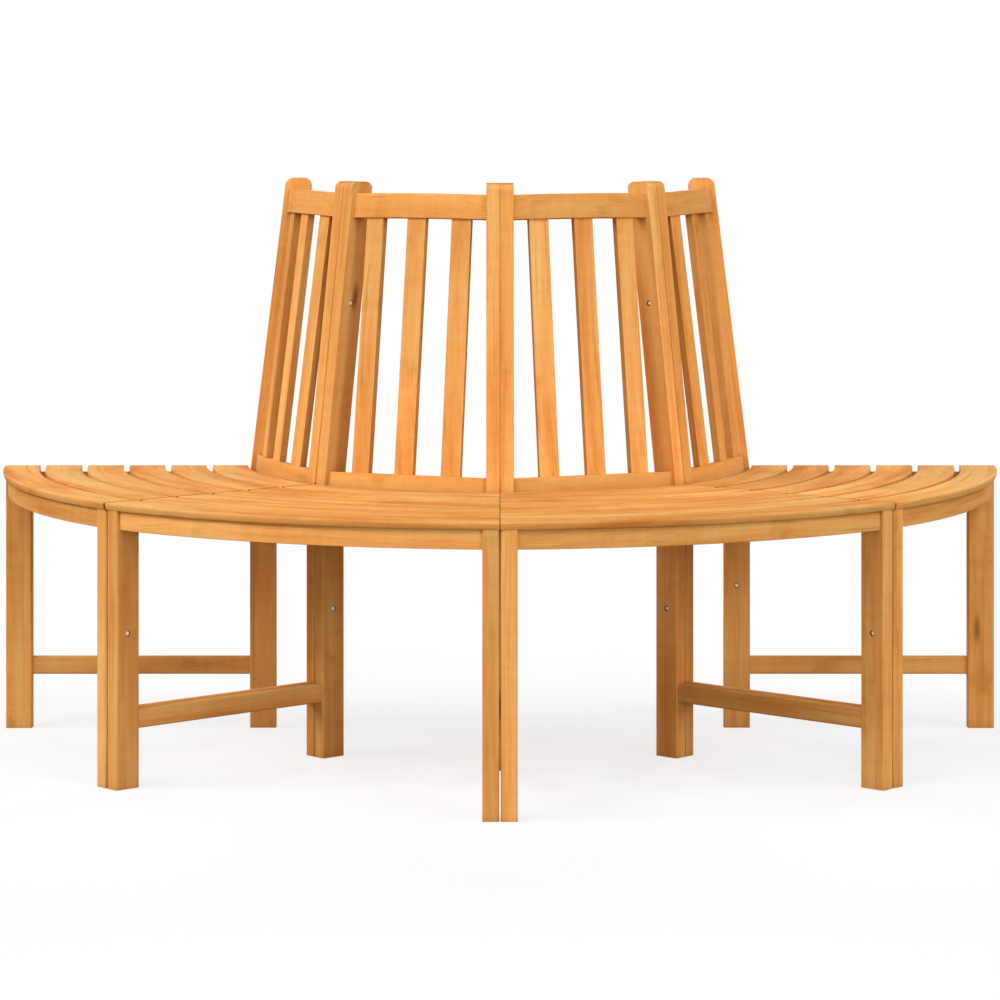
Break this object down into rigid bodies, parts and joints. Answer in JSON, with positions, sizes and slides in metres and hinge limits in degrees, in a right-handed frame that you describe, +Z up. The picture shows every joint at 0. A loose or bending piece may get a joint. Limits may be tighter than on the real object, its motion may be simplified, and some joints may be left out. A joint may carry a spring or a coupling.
{
  "type": "half-round tree bench",
  "caption": "Half-round slatted wooden garden bench with a leaning slatted back, made to stand round the front half of a tree trunk or against a wall.",
  "frame": {"origin": "middle of the footprint's bounding box, on the floor; the tree's axis is 0.4 m behind it", "axes": "+X to the right as seen from the front, +Y towards the tree or wall behind, +Z up; the seat's curved front faces -Y"},
  "size_m": [1.6, 0.8, 0.886],
  "materials": {
    "wood": "oiled honey-coloured teak",
    "steel": "plain zinc-plated bolts"
  },
  "bodies": {
    "root": {"front_leg_1": "wood", "front_leg_2": "wood", "front_leg_3": "wood", "front_leg_4": "wood", "front_leg_5": "wood", "front_leg_6": "wood", "front_leg_7": "wood", "front_leg_8": "wood", "back_post_1": "wood", "back_post_2": "wood", "back_post_3": "wood", "back_post_4": "wood", "back_post_5": "wood", "back_post_6": "wood", "back_post_7": "wood", "back_post_8": "wood", "seat_bearer_1": "wood", "seat_bearer_2": "wood", "seat_bearer_3": "wood", "seat_bearer_4": "wood", "seat_bearer_5": "wood", "seat_bearer_6": "wood", "seat_bearer_7": "wood", "seat_bearer_8": "wood", "stretcher_1": "wood", "stretcher_2": "wood", "stretcher_3": "wood", "stretcher_4": "wood", "stretcher_5": "wood", "stretcher_6": "wood", "stretcher_7": "wood", "stretcher_8": "wood", "seat_apron_1": "wood", "seat_apron_2": "wood", "seat_apron_3": "wood", "seat_apron_4": "wood", "back_bottom_rail_1": "wood", "back_bottom_rail_2": "wood", "back_bottom_rail_3": "wood", "back_bottom_rail_4": "wood", "back_top_rail_1": "wood", "back_top_rail_2": "wood", "back_top_rail_3": "wood", "back_top_rail_4": "wood", "back_slats_1": "wood", "back_slats_2": "wood", "back_slats_3": "wood", "back_slats_4": "wood", "seat_ring_1": "wood", "seat_ring_2": "wood", "seat_ring_3": "wood", "seat_ring_4": "wood", "seat_ring_5": "wood", "seat_ring_6": "wood", "joint_bolts": "steel", "joint_cap_nuts": "steel"}
  },
  "joints": []
}
